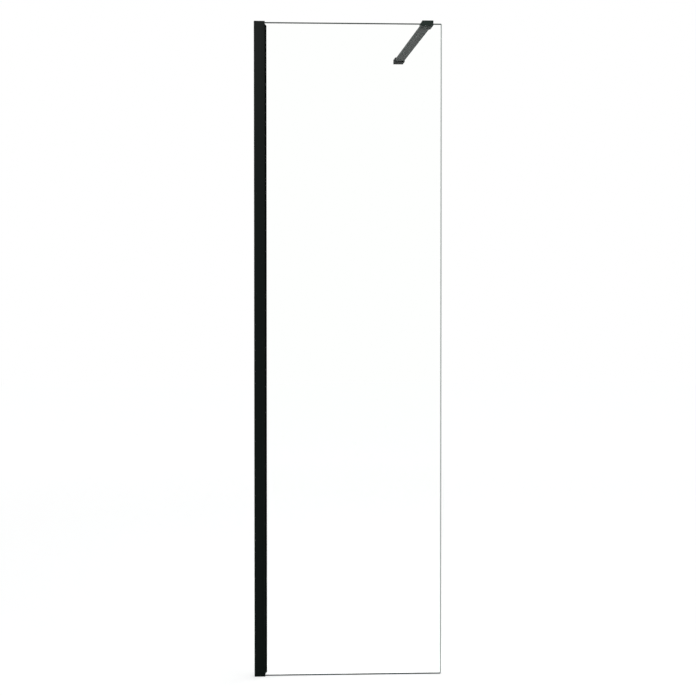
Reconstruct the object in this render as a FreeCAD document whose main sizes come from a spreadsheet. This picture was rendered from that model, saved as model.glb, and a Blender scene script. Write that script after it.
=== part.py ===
import FreeCAD, Part
import math
import os
import re
import Sketcher

# Fixed shower screen, in millimetres. A wall channel carries a glazing profile that slides out of it,
# the profile holds a glass panel, and a support arm runs from the glass's top edge back to the wall.
# Origin: wall line, floor and the glass's middle plane. +X from the wall along the glass, +Y towards
# the arm's wall, +Z up.

Vector = FreeCAD.Vector

# Driving dimensions: alias, value and what it measures
SIZES = [
    ("overall_height", "2000", "floor to the top of the profile's cap"),
    ("overall_width", "575", "wall to the glass's free edge with the profile pushed home"),
    ("adjust_travel", "15", "how far the profile slides out of the wall channel"),
    ("slide_clearance", "0.2", "gap on each side of a channel flange"),
    ("glass_thickness", "8", "toughened glass"),
    ("glass_arris", "1", "ground chamfer along the glass edges"),
    ("glass_drop", "2", "glass top below the top of the cap"),
    ("face_width", "33", "visible face of the glazing profile, along X"),
    ("face_wall", "1.8", "front and rear walls of the glazing profile"),
    ("nose_wall", "1.8", "wall that closes the profile towards the glass"),
    ("rib_wall", "1.4", "sides of the glass pocket"),
    ("web_wall", "1.6", "back of the glass pocket"),
    ("pocket_depth", "14", "nose face to the pocket's back"),
    ("mouth_hook", "0.8", "how far the nose laps over each gasket"),
    ("profile_round", "0.8", "rounding of the profile's outer nose edges"),
    ("gasket_thickness", "3", "gasket between glass and pocket side"),
    ("gasket_lip", "5.5", "gasket beyond the profile's nose"),
    ("gasket_tip", "1.4", "thickness of the lip where it ends on the glass"),
    ("gasket_shoulder", "1", "how far the lip stands over the nose beside the mouth"),
    ("gasket_inner_gap", "0.5", "gasket to the pocket's back"),
    ("gasket_end_gap", "8", "gasket end to the end of the profile"),
    ("gasket_round", "0.6", "rounding of the lip"),
    ("packer_thickness", "2", "block between the glass edge and the pocket's back"),
    ("packer_length", "60", "along the glass edge"),
    ("packer_end", "200", "first and last packer centre to the glass's ends"),
    ("channel_wall", "1.5", "flanges of the wall channel"),
    ("channel_back", "2", "plate of the wall channel against the wall"),
    ("channel_tip_gap", "1.2", "flange tip to the profile's nose at rest"),
    ("channel_end_gap", "2", "channel top below the profile's top"),
    ("wall_hole_radius", "2.75", "screw holes through the channel's back"),
    ("wall_hole_end", "150", "first and last wall hole to the profile's ends"),
    ("cap_plate", "1.5", "cap plate on top of the profile"),
    ("cap_round", "0.6", "rounding of the cap's top outline"),
    ("cap_lug_depth", "12", "lug that plugs into the profile"),
    ("cap_lug_gap", "2", "lug to the channel's back plate at rest"),
    ("lock_inset", "8", "lock screws from the profile's wall edge"),
    ("lock_end", "250", "first and last lock screw to the profile's ends"),
    ("lock_radius", "2", "lock screw shank"),
    ("lock_hole_clearance", "0.25", "round holes in the profile's rear wall"),
    ("lock_slot_clearance", "0.3", "slots in the channel's rear flange"),
    ("lock_tail", "1", "screw end beyond its nut"),
    ("lock_head_radius", "4", "pan head"),
    ("lock_head_rim", "1.2", "straight part of the pan head"),
    ("lock_head_crown", "1", "sloped part of the pan head"),
    ("lock_crown_radius", "2.8", "flat on top of the pan head"),
    ("lock_socket_radius", "1.45", "hexagon socket, across corners over two"),
    ("lock_socket_depth", "1.3", "depth of the hexagon socket"),
    ("nut_width", "7", "square nut"),
    ("nut_height", "2.4", "square nut"),
    ("nut_gap", "0.1", "nut to the channel's flange"),
    ("thread_clearance", "0.05", "radial gap where a thread is plain"),
    ("screw_cap_wall", "0.9", "snap-on cover over a lock screw head"),
    ("screw_cap_gap", "0.1", "cover to screw head"),
    ("arm_inset", "44", "arm's centre line from the glass's free edge"),
    ("arm_reach", "1000", "glass's middle plane to the wall behind"),
    ("grip_depth", "8", "clamp below the glass's top edge"),
    ("fitting_width", "34", "clamp, knuckles and bracket along X"),
    ("fitting_height", "16", "clamp, knuckles and bracket along Z"),
    ("fitting_round", "0.8", "rounding of the fittings' outer edges"),
    ("jaw_thickness", "5.5", "clamp in front of the glass"),
    ("pad_thickness", "1.5", "soft pads on both faces of the glass"),
    ("pad_inset", "1", "pads and plate inside the clamp's outline"),
    ("plate_thickness", "2", "plate that the clamp screws press on"),
    ("plate_gap", "0.4", "plate to the back of the clamp's slot"),
    ("slot_top_gap", "0.4", "glass top to the roof of the clamp's slot"),
    ("clamp_back", "8", "clamp wall that the clamp screws run in"),
    ("grub_radius", "2", "clamp screws"),
    ("grub_length", "8", "clamp screws"),
    ("grub_spacing", "21", "between the two clamp screws"),
    ("grub_lift", "0.2", "clamp screws above the lower ear"),
    ("grub_socket_radius", "1.15", "hexagon socket, across corners over two"),
    ("grub_socket_depth", "2", "depth of the hexagon socket"),
    ("ear_thickness", "4", "upper and lower ears of a fork"),
    ("throat_gap", "0.6", "tongue end to the root of its fork"),
    ("shoulder_gap", "0.5", "ear ends to the knuckle's shoulder"),
    ("tongue_half", "6", "half the width of a knuckle's tongue"),
    ("washer_thickness", "0.6", "washers between tongue and ears"),
    ("washer_clearance", "0.05", "washer to ear"),
    ("pin_radius", "2.5", "pivot pins"),
    ("pin_head_radius", "4", "pin head in its recess"),
    ("pin_head_height", "1.6", "pin head in its recess"),
    ("pin_end_gap", "0.3", "pin end above the lower ear's face"),
    ("pin_socket_radius", "1.45", "hexagon socket, across corners over two"),
    ("pin_socket_depth", "1.2", "depth of the hexagon socket"),
    ("head_clearance", "0.15", "round a pin head in its recess"),
    ("running_clearance", "0.05", "pin to bore, on the radius"),
    ("socket_length", "42", "knuckle block that holds the bar"),
    ("socket_depth", "38", "bar pocket in the knuckle block"),
    ("socket_clearance", "0.1", "bar to pocket, each side"),
    ("bar_width", "30", "support bar along X"),
    ("bar_height", "10", "support bar along Z"),
    ("bar_wall", "1.6", "wall of the hollow bar"),
    ("bar_round", "0.8", "rounding of the bar's long edges"),
    ("bar_end_gap", "0.3", "bar end to the pocket's floor"),
    ("bar_screw_radius", "2.5", "grub screws under the knuckles"),
    ("bar_screw_recess", "0.2", "grub screw end above the knuckle's face"),
    ("bar_screw_socket_radius", "1.45", "hexagon socket, across corners over two"),
    ("bar_screw_socket_depth", "1.4", "depth of the hexagon socket"),
    ("bracket_back", "9", "wall bracket from its fork's root to the wall"),
    ("flange_width", "34", "wall flange along X"),
    ("flange_height", "16", "wall flange along Z"),
    ("flange_thickness", "5", "wall flange along Y"),
    ("bracket_hole_spacing", "22", "between the bracket's screw holes"),
    ("bracket_hole_radius", "2.25", "bracket's screw holes"),
    ("countersink_radius", "3.8", "countersink at the fork's root"),
]

# Worked-out dimensions: alias and formula
PLACES = [
    ("glass_half", "glass_thickness / 2"),
    ("pocket_half", "glass_half + gasket_thickness"),
    ("mouth_half", "pocket_half - mouth_hook"),
    ("rib_half", "pocket_half + rib_wall"),
    ("flange_inner", "rib_half + slide_clearance"),
    ("channel_half", "flange_inner + channel_wall"),
    ("face_inner", "channel_half + slide_clearance"),
    ("face_half", "face_inner + face_wall"),
    ("nose_back", "face_width - nose_wall"),
    ("web_front", "face_width - pocket_depth"),
    ("web_rear", "web_front - web_wall"),
    ("channel_depth", "nose_back - channel_tip_gap"),
    ("profile_height", "overall_height - cap_plate"),
    ("channel_height", "profile_height - channel_end_gap"),
    ("glass_height", "overall_height - glass_drop"),
    ("glass_edge", "web_front + packer_thickness"),
    ("lip_end", "face_width + gasket_lip"),
    ("lip_half", "mouth_half + gasket_shoulder"),
    ("nut_seat", "flange_inner - nut_gap"),
    ("lock_tip", "nut_seat - nut_height - lock_tail"),
    ("lock_head_height", "lock_head_rim + lock_head_crown"),
    ("arm_x", "overall_width - arm_inset"),
    ("fitting_half", "fitting_width / 2"),
    ("fitting_base", "glass_height - grip_depth"),
    ("fitting_middle", "fitting_height / 2"),
    ("ear_top", "fitting_height - ear_thickness"),
    ("clamp_front", "glass_half + pad_thickness + jaw_thickness"),
    ("slot_front", "glass_half + pad_thickness"),
    ("plate_rear", "slot_front + plate_thickness"),
    ("slot_rear", "plate_rear + plate_gap"),
    ("clamp_rear", "slot_rear + clamp_back"),
    ("fork_root", "tongue_half + throat_gap"),
    ("clamp_pivot_y", "clamp_rear + fork_root"),
    ("bracket_length", "fork_root + bracket_back"),
    ("wall_pivot_y", "arm_reach - bracket_length"),
    ("shoulder", "fitting_half + shoulder_gap"),
    ("socket_mouth", "shoulder + socket_length"),
    ("socket_floor", "socket_mouth - socket_depth"),
    ("tongue_base", "ear_thickness + washer_clearance + washer_thickness"),
    ("tongue_height", "fitting_height - 2 * tongue_base"),
    ("bar_start", "clamp_pivot_y + socket_floor + bar_end_gap"),
    ("bar_end", "wall_pivot_y - socket_floor - bar_end_gap"),
    ("bar_base", "fitting_middle - bar_height / 2"),
    ("bar_screw_y", "socket_mouth - socket_depth / 2"),
    ("grub_height", "ear_thickness + grub_radius + grub_lift"),
]

WALL_HOLE_COUNT = 4
LOCK_COUNT = 4
PACKER_COUNT = 4
# A cut that leaves the solid runs this much past it
OVERSHOOT = 1

doc = FreeCAD.newDocument("ShowerScreen")


def fill_sheet(name, rows):
    """Makes a sheet of aliased cells: alias in A, value in B, its meaning in C where there is one."""
    made = doc.addObject("Spreadsheet::Sheet", name)
    for row, (alias, content, *meaning) in enumerate(rows, start=1):
        made.set(f"A{row}", alias)
        made.set(f"B{row}", content)
        made.setAlias(f"B{row}", alias)
        if meaning:
            made.set(f"C{row}", meaning[0])
    doc.recompute()
    return made


def full(formula):
    """Writes each alias in a formula with the name of its sheet."""
    return re.sub(r"[a-z]\w*", lambda word: f"{sheet_of[word.group()]}.{word.group()}", formula)


sheet_of = {alias: "Sizes" for alias, _, _ in SIZES}
sizes = fill_sheet("Sizes", SIZES)
sheet_of.update({alias: "Places" for alias, _ in PLACES})
places = fill_sheet("Places", [(alias, "=" + full(formula)) for alias, formula in PLACES])


def value(formula):
    """The number that a formula gives now."""
    return float(sizes.evalExpression(full(formula)))


def bind(item, path, formula):
    """Ties a property to a formula."""
    item.setExpression(path, full(formula))


def move(item, x="0", y="0", z="0"):
    """Ties an object's place to three formulas."""
    bind(item, "Placement.Base.x", x)
    bind(item, "Placement.Base.y", y)
    bind(item, "Placement.Base.z", z)


def spread(count, end, length):
    """Formulas of evenly spaced places along a length, the first and last at a distance from its ends."""
    return [f"{end} + {i} * ({length} - 2 * {end}) / {count - 1}" for i in range(count)]


# Bodies with sketches


def new_body(label):
    """An empty body with its label."""
    body = doc.addObject("PartDesign::Body", label)
    body.Label = label
    return body


def new_sketch(body, plane, at="0"):
    """A sketch on one of the body's own planes, moved along X, Y or Z to a formula."""
    sketch = body.newObject("Sketcher::SketchObject", f"{body.Name}_sketch")
    feature = next(f for f in body.Origin.OriginFeatures if f.Role == f"{plane}_Plane")
    sketch.AttachmentSupport = [(feature, "")]
    sketch.MapMode = "FlatFace"
    sign = "-" if plane == "XZ" else ""
    bind(sketch, "AttachmentOffset.Base.z", f"{sign}({at})")
    return sketch


def dimension(sketch, kind, element, formula):
    """Adds a dimension from the sketch's origin to a point, or of an element, and ties it to a formula."""
    ends = (-1, 1) + element if kind.startswith("Distance") else element
    index = sketch.addConstraint(Sketcher.Constraint(kind, *ends, value(formula)))
    bind(sketch, f"Constraints[{index}]", formula)


def outline(sketch, points):
    """A closed outline, anticlockwise. A point with a third formula starts a half circle, whose centre
    is at that height."""
    first = sketch.GeometryCount
    spots = [Vector(value(p[0]), value(p[1])) for p in points]
    count = len(points)
    for i, point in enumerate(points):
        start = spots[i]
        end = spots[(i + 1) % count]
        if len(point) == 2:
            sketch.addGeometry(Part.LineSegment(start, end))
            continue
        middle = (start + end) / 2
        circle = Part.Circle(middle, Vector(0, 0, 1), (end - start).Length / 2)
        angle = math.atan2(start.y - middle.y, start.x - middle.x)
        sketch.addGeometry(Part.ArcOfCircle(circle, angle, angle + math.pi))
    for i in range(count):
        after = first + (i + 1) % count
        sketch.addConstraint(Sketcher.Constraint("Coincident", first + i, 2, after, 1))
    for i, point in enumerate(points):
        dimension(sketch, "DistanceX", (first + i, 1), point[0])
        dimension(sketch, "DistanceY", (first + i, 1), point[1])
        if len(point) == 3:
            dimension(sketch, "DistanceY", (first + i, 3), point[2])


def rectangle(sketch, left, low, right, high):
    """A rectangle between two corners."""
    outline(sketch, [(left, low), (right, low), (right, high), (left, high)])


def circle_at(sketch, x, y, radius):
    """A circle about a point."""
    index = sketch.addGeometry(Part.Circle(Vector(value(x), value(y)), Vector(0, 0, 1), value(radius)))
    dimension(sketch, "DistanceX", (index, 3), x)
    dimension(sketch, "DistanceY", (index, 3), y)
    dimension(sketch, "Radius", (index,), radius)


def slot_at(sketch, left, right, y, radius):
    """A round-ended slot between two centres on one height."""
    normal = Vector(0, 0, 1)
    start = Vector(value(left), value(y))
    end = Vector(value(right), value(y))
    side = Vector(0, value(radius))
    quarter = math.pi / 2
    start_circle = Part.Circle(start, normal, side.y)
    end_circle = Part.Circle(end, normal, side.y)
    start_arc = sketch.addGeometry(Part.ArcOfCircle(start_circle, quarter, 3 * quarter))
    low = sketch.addGeometry(Part.LineSegment(start - side, end - side))
    end_arc = sketch.addGeometry(Part.ArcOfCircle(end_circle, -quarter, quarter))
    high = sketch.addGeometry(Part.LineSegment(end + side, start + side))
    for one, two in ((start_arc, low), (low, end_arc), (end_arc, high), (high, start_arc)):
        sketch.addConstraint(Sketcher.Constraint("Tangent", one, 2, two, 1))
    sketch.addConstraint(Sketcher.Constraint("Equal", start_arc, end_arc))
    for arc, x in ((start_arc, left), (end_arc, right)):
        dimension(sketch, "DistanceX", (arc, 3), x)
        dimension(sketch, "DistanceY", (arc, 3), y)
    dimension(sketch, "Radius", (start_arc,), radius)


def pad(body, sketch, length, flip=False):
    """Raises a sketch along its plane's axis: +Z from XY, +X from YZ, -Y from XZ, or the other way."""
    made = body.newObject("PartDesign::Pad", f"{body.Name}_pad")
    made.Profile = sketch
    made.Reversed = flip
    bind(made, "Length", length)
    doc.recompute()
    return made


def pocket(body, sketch, length=None, flip=False):
    """Cuts a sketch into the body: -Z from XY, -X from YZ, +Y from XZ, or the other way. With no length
    it cuts both ways through everything. A cut that takes nothing away is an error."""
    before = body.Shape.Volume
    made = body.newObject("PartDesign::Pocket", f"{body.Name}_pocket")
    made.Profile = sketch
    made.Reversed = flip
    if length is None:
        made.Type = "ThroughAll"
        made.SideType = "Symmetric"
    else:
        bind(made, "Length", length)
    doc.recompute()
    if not body.Shape.Volume < before:
        raise RuntimeError(f"{made.Name} cuts nothing")
    return made


def dress(body, kind, size, chosen):
    """Rounds or chamfers the edges of the body that a test chooses."""
    base = body.Tip
    names = [f"Edge{i}" for i, edge in enumerate(base.Shape.Edges, start=1) if chosen(edge)]
    made = body.newObject(f"PartDesign::{kind}", f"{body.Name}_{kind.lower()}")
    made.Base = (base, names)
    bind(made, "Radius" if kind == "Fillet" else "Size", size)
    doc.recompute()
    return made


def near(one, two):
    """True if two lengths are the same to a thousandth of a millimetre."""
    return abs(one - two) < 0.001


def runs_along(edge, axis):
    """True for a straight edge along X, Y or Z."""
    if not isinstance(edge.Curve, Part.Line):
        return False
    return near(abs(getattr(edge.Curve.Direction, axis)), 1)


# Primitives

TURNS = {
    "y": FreeCAD.Rotation(Vector(1, 0, 0), -90),
    "z": FreeCAD.Rotation(),
}


def primitive(kind, place, axis="z", **formulas):
    """A Part primitive that starts at a place and runs along an axis, its properties tied to formulas."""
    made = doc.addObject(f"Part::{kind}", kind)
    made.Placement = FreeCAD.Placement(Vector(), TURNS[axis])
    for name, formula in formulas.items():
        bind(made, name, formula)
    move(made, *place)
    return made


def box(place, length, width, height):
    """A box from its lowest corner, sized along X, Y and Z."""
    return primitive("Box", place, Length=length, Width=width, Height=height)


def rod(place, axis, radius, height):
    """A cylinder from the middle of its first face."""
    return primitive("Cylinder", place, axis, Radius=radius, Height=height)


def taper(place, axis, radius, end_radius, height):
    """A cone's frustum from the middle of its first face."""
    return primitive("Cone", place, axis, Radius1=radius, Radius2=end_radius, Height=height)


def hexagon(place, axis, radius, height):
    """A six-sided socket cut from the middle of its first face."""
    made = primitive("Prism", place, axis, Circumradius=radius, Height=height)
    made.Polygon = 6
    return made


def joined(*solids):
    """One solid of several that touch."""
    made = doc.addObject("Part::MultiFuse", "Joined")
    made.Shapes = list(solids)
    return made


def less(base, *tools):
    """A solid with others cut from it, one after another."""
    for tool in tools:
        made = doc.addObject("Part::Cut", "Less")
        made.Base = base
        made.Tool = tool
        base = made
    return base


def group(label, solids):
    """Separate solids of the same kind under one label."""
    made = doc.addObject("Part::Compound", label)
    made.Links = solids
    made.Label = label
    return made


def named(label, solid):
    """Gives a solid its label."""
    solid.Label = label
    return solid


# Wall side


def make_wall_channel():
    """U-channel on the wall: open screw holes in its back, slots in its rear flange for the lock screws."""
    body = new_body("wall_channel")
    section = new_sketch(body, "XY")
    outline(
        section,
        [
            ("0", "-channel_half"),
            ("channel_depth", "-channel_half"),
            ("channel_depth", "-flange_inner"),
            ("channel_back", "-flange_inner"),
            ("channel_back", "flange_inner"),
            ("channel_depth", "flange_inner"),
            ("channel_depth", "channel_half"),
            ("0", "channel_half"),
        ],
    )
    pad(body, section, "channel_height")
    holes = new_sketch(body, "YZ", "channel_back")
    for z in spread(WALL_HOLE_COUNT, "wall_hole_end", "overall_height"):
        circle_at(holes, "0", z, "wall_hole_radius")
    pocket(body, holes, "channel_back")
    slots = new_sketch(body, "XZ", "flange_inner")
    for z in spread(LOCK_COUNT, "lock_end", "overall_height"):
        slot_at(slots, "lock_inset", "lock_inset + adjust_travel", z, "lock_radius + lock_slot_clearance")
    pocket(body, slots, "channel_wall")
    return body


# Pieces that slide with the glass


def make_glazing_profile():
    """The visible extrusion: outer walls over the channel's flanges, and a pocket for the glass."""
    body = new_body("glazing_profile")
    section = new_sketch(body, "XY")
    outline(
        section,
        [
            ("0", "-face_half"),
            ("face_width", "-face_half"),
            ("face_width", "-mouth_half"),
            ("nose_back", "-mouth_half"),
            ("nose_back", "-pocket_half"),
            ("web_front", "-pocket_half"),
            ("web_front", "pocket_half"),
            ("nose_back", "pocket_half"),
            ("nose_back", "mouth_half"),
            ("face_width", "mouth_half"),
            ("face_width", "face_half"),
            ("0", "face_half"),
            ("0", "face_inner"),
            ("nose_back", "face_inner"),
            ("nose_back", "rib_half"),
            ("web_rear", "rib_half"),
            ("web_rear", "-rib_half"),
            ("nose_back", "-rib_half"),
            ("nose_back", "-face_inner"),
            ("0", "-face_inner"),
        ],
    )
    pad(body, section, "profile_height")
    corner_x = value("face_width")
    corner_y = value("face_half")

    def nose_edge(edge):
        spot = edge.CenterOfMass
        return runs_along(edge, "z") and near(spot.x, corner_x) and near(abs(spot.y), corner_y)

    dress(body, "Fillet", "profile_round", nose_edge)
    holes = new_sketch(body, "XZ", "face_inner")
    for z in spread(LOCK_COUNT, "lock_end", "overall_height"):
        circle_at(holes, "lock_inset", z, "lock_radius + lock_hole_clearance")
    pocket(body, holes, "face_wall")
    return body


def make_glass_panel():
    """The glass: its wall edge in the pocket, all its edges ground to a small chamfer."""
    body = new_body("glass_panel")
    section = new_sketch(body, "XY")
    rectangle(section, "glass_edge", "-glass_half", "overall_width", "glass_half")
    pad(body, section, "glass_height")
    dress(body, "Chamfer", "glass_arris", lambda edge: not runs_along(edge, "y"))
    return body


def make_gasket(label, side):
    """A gasket beside the glass, held by the pocket's hooked mouth. Its lip covers the mouth outside.
    side is -1 in front of the glass and 1 behind it."""
    body = new_body(label)
    section = new_sketch(body, "XY", "gasket_end_gap")
    inner_end = "web_front + gasket_inner_gap"
    points = [
        (inner_end, "glass_half"),
        ("lip_end", "glass_half"),
        ("lip_end", "glass_half + gasket_tip"),
        ("face_width", "lip_half"),
        ("face_width", "mouth_half"),
        ("nose_back", "mouth_half"),
        ("nose_back", "pocket_half"),
        (inner_end, "pocket_half"),
    ]
    if side < 0:
        points = [(x, f"-({y})") for x, y in reversed(points)]
    outline(section, points)
    pad(body, section, "overall_height - 2 * gasket_end_gap")
    tip = (value("lip_end"), value("glass_half + gasket_tip"))

    def lip_edge(edge):
        spot = edge.CenterOfMass
        return runs_along(edge, "z") and near(spot.x, tip[0]) and near(abs(spot.y), tip[1])

    dress(body, "Fillet", "gasket_round", lip_edge)
    return body


def make_edge_packers():
    """Blocks that keep the glass edge off the pocket's back."""
    blocks = []
    for z in spread(PACKER_COUNT, "packer_end", "glass_height"):
        place = ("web_front", "-glass_half", f"{z} - packer_length / 2")
        blocks.append(box(place, "packer_thickness", "glass_thickness", "packer_length"))
    return group("edge_packers", blocks)


def make_top_cap():
    """End cover of the profile, with a lug that plugs in behind the glass pocket."""
    body = new_body("top_cap")
    plate = new_sketch(body, "XY", "profile_height")
    rectangle(plate, "0", "-face_half", "face_width", "face_half")
    pad(body, plate, "cap_plate")
    top = value("overall_height")
    dress(body, "Fillet", "cap_round", lambda edge: near(edge.BoundBox.ZMin, top))
    lug = new_sketch(body, "XY", "profile_height")
    rectangle(lug, "channel_back + cap_lug_gap", "-rib_half", "web_rear", "rib_half")
    pad(body, lug, "cap_lug_depth", flip=True)
    return body


def make_lock_screws():
    """Pan-head screws through the profile's rear wall and the channel's slots into the nuts."""
    screws = []
    for z in spread(LOCK_COUNT, "lock_end", "overall_height"):
        crown = ("lock_inset", "face_half + lock_head_rim", z)
        socket_y = "face_half + lock_head_height - lock_socket_depth"
        screw = joined(
            rod(("lock_inset", "lock_tip", z), "y", "lock_radius", "face_half - lock_tip"),
            rod(("lock_inset", "face_half", z), "y", "lock_head_radius", "lock_head_rim"),
            taper(crown, "y", "lock_head_radius", "lock_crown_radius", "lock_head_crown"),
        )
        socket = hexagon(("lock_inset", socket_y, z), "y", "lock_socket_radius", "lock_socket_depth")
        screws.append(less(screw, socket))
    return group("lock_screws", screws)


def make_lock_nuts():
    """Square nuts inside the channel, behind its slotted flange."""
    nuts = []
    for z in spread(LOCK_COUNT, "lock_end", "overall_height"):
        place = ("lock_inset - nut_width / 2", "nut_seat - nut_height", f"{z} - nut_width / 2")
        block = box(place, "nut_width", "nut_height", "nut_width")
        thread = rod(("lock_inset", place[1], z), "y", "lock_radius + thread_clearance", "nut_height")
        nuts.append(less(block, thread))
    return group("lock_nuts", nuts)


def make_screw_caps():
    """Snap-on covers over the lock screw heads, seated on the profile's rear face."""
    covers = []
    radius = "lock_head_radius + screw_cap_gap + screw_cap_wall"
    inside = "lock_head_height + screw_cap_gap"
    for z in spread(LOCK_COUNT, "lock_end", "overall_height"):
        place = ("lock_inset", "face_half", z)
        roof = ("lock_inset", f"face_half + {inside}", z)
        shell = joined(
            rod(place, "y", radius, inside),
            taper(roof, "y", radius, f"{radius} - screw_cap_wall", "screw_cap_wall"),
        )
        hollow = rod(place, "y", "lock_head_radius + screw_cap_gap", inside)
        covers.append(less(shell, hollow))
    return group("screw_caps", covers)


# Support arm: clamp and bracket with forks, knuckles with tongues


def outer_edges(skip):
    """A test for the outline edges on the top and bottom of a block, and its upright corners, but not
    those that skip chooses."""
    top = value("fitting_height")

    def chosen(edge):
        if skip(edge):
            return False
        box_of = edge.BoundBox
        flat = near(box_of.ZMin, box_of.ZMax) and (near(box_of.ZMin, 0) or near(box_of.ZMin, top))
        return flat or runs_along(edge, "z")

    return chosen


def pin_recess(body, pivot):
    """The pivot hole through both ears and the recess for the pin's head in the upper one."""
    bore = new_sketch(body, "XY")
    circle_at(bore, "0", pivot, "pin_radius + running_clearance")
    pocket(body, bore)
    recess = new_sketch(body, "XY", "fitting_height - pin_head_height")
    circle_at(recess, "0", pivot, "pin_head_radius + head_clearance")
    pocket(body, recess, f"pin_head_height + {OVERSHOOT}", flip=True)


def make_clamp_body():
    """Block over the glass's top edge: a front jaw, a slot for glass, pads and plate, and a fork behind.
    Its own origin is on the glass's middle plane, at the block's underside."""
    body = new_body("clamp_body")
    block = new_sketch(body, "XY")
    outline(
        block,
        [
            ("-fitting_half", "-clamp_front"),
            ("fitting_half", "-clamp_front"),
            ("fitting_half", "clamp_pivot_y", "clamp_pivot_y"),
            ("-fitting_half", "clamp_pivot_y"),
        ],
    )
    pad(body, block, "fitting_height")
    pivot_y = value("clamp_pivot_y")

    def tangent_line(edge):
        return runs_along(edge, "z") and near(edge.CenterOfMass.y, pivot_y)

    dress(body, "Fillet", "fitting_round", outer_edges(tangent_line))
    slot = new_sketch(body, "YZ")
    rectangle(slot, "-slot_front", f"-{OVERSHOOT}", "slot_rear", "grip_depth + slot_top_gap")
    pocket(body, slot)
    gap = new_sketch(body, "YZ")
    rectangle(gap, "clamp_rear", "ear_thickness", f"clamp_pivot_y + fitting_half + {OVERSHOOT}", "ear_top")
    pocket(body, gap)
    pin_recess(body, "clamp_pivot_y")
    threads = new_sketch(body, "XZ", "slot_rear")
    for side in ("-", ""):
        circle_at(threads, f"{side}grub_spacing / 2", "grub_height", "grub_radius + thread_clearance")
    pocket(body, threads, "clamp_back")
    move(body, "arm_x", "0", "fitting_base")
    return body


def make_grip_piece(label, start, thickness):
    """A flat piece in the clamp's slot: a pad or the pressure plate."""
    place = ("arm_x - fitting_half + pad_inset", start, "fitting_base + pad_inset")
    return named(label, box(place, "fitting_width - 2 * pad_inset", thickness, "grip_depth - pad_inset"))


def make_clamp_screws():
    """Two grub screws that press the plate against the glass."""
    screws = []
    for side in ("-", "+"):
        x = f"arm_x {side} grub_spacing / 2"
        z = "fitting_base + grub_height"
        screw = rod((x, "plate_rear", z), "y", "grub_radius", "grub_length")
        socket_y = "plate_rear + grub_length - grub_socket_depth"
        screws.append(less(screw, hexagon((x, socket_y, z), "y", "grub_socket_radius", "grub_socket_depth")))
    return group("clamp_screws", screws)


def make_pivot_pin(label, y):
    """A pin with a sunk head that joins a tongue to its fork."""
    top = "fitting_base + fitting_height"
    pin = joined(
        rod(("arm_x", y, "fitting_base + pin_end_gap"), "z", "pin_radius", "fitting_height - pin_end_gap"),
        rod(("arm_x", y, f"{top} - pin_head_height"), "z", "pin_head_radius", "pin_head_height"),
    )
    socket = hexagon(("arm_x", y, f"{top} - pin_socket_depth"), "z", "pin_socket_radius", "pin_socket_depth")
    return named(label, less(pin, socket))


def make_knuckle(label, y, turned):
    """Block that holds a bar end, with a tongue on the pivot. Its own origin is on the pivot at the
    block's underside, with the bar along +Y, and turned sets it about for the wall end."""
    body = new_body(label)
    block = new_sketch(body, "XY")
    rectangle(block, "-fitting_half", "shoulder", "fitting_half", "socket_mouth")
    pad(body, block, "fitting_height")
    dress(body, "Fillet", "fitting_round", outer_edges(lambda edge: False))
    socket = new_sketch(body, "XZ", "socket_mouth")
    half_width = "bar_width / 2 + socket_clearance"
    half_height = "bar_height / 2 + socket_clearance"
    rectangle(
        socket,
        f"-({half_width})",
        f"fitting_middle - ({half_height})",
        half_width,
        f"fitting_middle + {half_height}",
    )
    pocket(body, socket, "socket_depth", flip=True)
    tongue = new_sketch(body, "XY", "tongue_base")
    outline(
        tongue,
        [
            ("-tongue_half", "0", "0"),
            ("tongue_half", "0"),
            ("tongue_half", "socket_floor"),
            ("-tongue_half", "socket_floor"),
        ],
    )
    pad(body, tongue, "tongue_height")
    bore = new_sketch(body, "XY")
    circle_at(bore, "0", "0", "pin_radius + running_clearance")
    pocket(body, bore)
    thread = new_sketch(body, "XY", "fitting_middle")
    circle_at(thread, "0", "bar_screw_y", "bar_screw_radius + thread_clearance")
    pocket(body, thread, f"fitting_middle + {OVERSHOOT}")
    if turned:
        body.Placement = FreeCAD.Placement(Vector(), FreeCAD.Rotation(Vector(0, 0, 1), 180))
    move(body, "arm_x", y, "fitting_base")
    return body


def make_washers(label, y):
    """Two thin washers on a pin, above and below the tongue."""
    rings = []
    for z in ("tongue_base - washer_thickness", "tongue_base + tongue_height"):
        place = ("arm_x", y, f"fitting_base + {z}")
        ring = rod(place, "z", "tongue_half", "washer_thickness")
        hole = rod(place, "z", "pin_radius + running_clearance", "washer_thickness")
        rings.append(less(ring, hole))
    return group(label, rings)


def make_support_bar():
    """Flat hollow bar between the knuckles. Its own origin is at the glass end, on its underside."""
    body = new_body("support_bar")
    section = new_sketch(body, "XZ")
    rectangle(section, "-bar_width / 2", "0", "bar_width / 2", "bar_height")
    pad(body, section, "bar_end - bar_start", flip=True)
    dress(body, "Fillet", "bar_round", lambda edge: runs_along(edge, "y"))
    hollow = new_sketch(body, "XZ")
    inside = "bar_width / 2 - bar_wall"
    rectangle(hollow, f"-({inside})", "bar_wall", inside, "bar_height - bar_wall")
    pocket(body, hollow)
    move(body, "arm_x", "bar_start", "fitting_base + bar_base")
    return body


def make_bar_screws():
    """Grub screws under both knuckles, up against the bar."""
    screws = []
    length = "bar_base - bar_screw_recess"
    for y in ("clamp_pivot_y + bar_screw_y", "wall_pivot_y - bar_screw_y"):
        place = ("arm_x", y, "fitting_base + bar_screw_recess")
        socket = hexagon(place, "z", "bar_screw_socket_radius", "bar_screw_socket_depth")
        screws.append(less(rod(place, "z", "bar_screw_radius", length), socket))
    return group("bar_screws", screws)


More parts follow.
